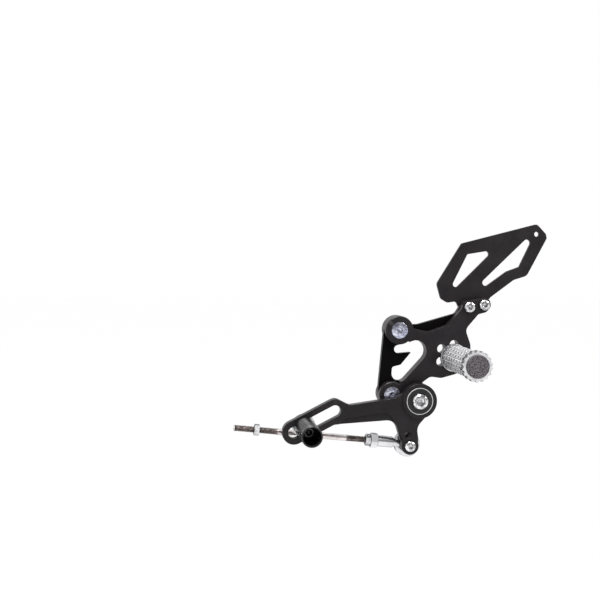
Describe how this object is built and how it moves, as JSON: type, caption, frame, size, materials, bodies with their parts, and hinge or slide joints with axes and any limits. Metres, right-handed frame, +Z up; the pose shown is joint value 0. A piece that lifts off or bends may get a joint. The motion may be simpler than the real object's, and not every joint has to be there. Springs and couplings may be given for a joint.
{
  "type": "motorcycle rear set footrest, gear shift side",
  "caption": "Machined black footrest bracket with knurled silver peg, heel guard, gear shift lever on a ball bearing, toe peg and shift rod.",
  "frame": {"origin": "on the upper frame bolt's axis, where the bracket's boss meets the bike's frame", "axes": "+X to the rear of the bike, +Y towards the bike's frame, +Z up"},
  "size_m": [0.3044, 0.1086, 0.222],
  "materials": {
    "black_anodised": "satin black anodised, machined",
    "silver_bolt": "satin silver anodised",
    "bright_steel": "polished stainless",
    "zinc_steel": "bright zinc plated",
    "machined_aluminium": "bright, machined",
    "dark_plastic": "fine moulded texture",
    "bearing_steel": "ground and polished",
    "brass_cage": "stamped",
    "seal_rubber": "moulded",
    "chrome_steel": "plated",
    "black_gloss": "gloss black anodised",
    "brown_liner": "sintered bronze",
    "zinc_rod": "zinc plated, slightly warm"
  },
  "bodies": {
    "root": {"bracket": "black_anodised", "upper_frame_bolt": "silver_bolt", "lower_frame_bolt": "silver_bolt", "heel_guard": "black_anodised", "guard_bolt_front": "bright_steel", "guard_bolt_rear": "bright_steel", "guard_nut_front": "zinc_steel", "guard_nut_rear": "zinc_steel", "footpeg": "machined_aluminium", "footpeg_cap": "dark_plastic", "footpeg_bolt": "zinc_steel", "footpeg_washer": "zinc_steel", "pivot_bolt": "bright_steel", "pivot_spacer": "zinc_steel", "bearing_inner_ring": "bearing_steel"},
    "lever": {"shift_lever": "black_anodised", "bearing_outer_ring": "bearing_steel", "bearing_balls": "bearing_steel", "bearing_cage": "brass_cage", "bearing_seal_front": "seal_rubber", "bearing_seal_rear": "seal_rubber", "rod_end_bolt": "bright_steel", "rod_end_washer": "zinc_steel", "rod_end_ball": "chrome_steel", "rod_end_nut": "zinc_steel"},
    "toe": {"toe_peg": "black_gloss", "toe_peg_bolt": "zinc_steel", "toe_slot_nut": "machined_aluminium"},
    "rod": {"rod_end_body": "chrome_steel", "rod_end_race": "brown_liner", "rod_lock_nut": "zinc_steel", "shift_rod": "zinc_rod", "far_lock_nut": "zinc_steel"}
  },
  "joints": [
    {"name": "lever_pivot", "type": "hinge", "parent": "root", "child": "lever", "pos_m": [0.01735, -0.0255, -0.06586], "axis": [0, 1, 0], "range_deg": [-15, 15]},
    {"name": "toe_slide", "type": "slide", "parent": "lever", "child": "toe", "axis": [0.8902, 0, 0.4555], "range_m": [-0.011, 0.0316]},
    {"name": "rod_swing", "type": "hinge", "parent": "lever", "child": "rod", "pos_m": [0.00885, -0.014, -0.10846], "axis": [0, 1, 0], "range_deg": [-25, 25]}
  ]
}
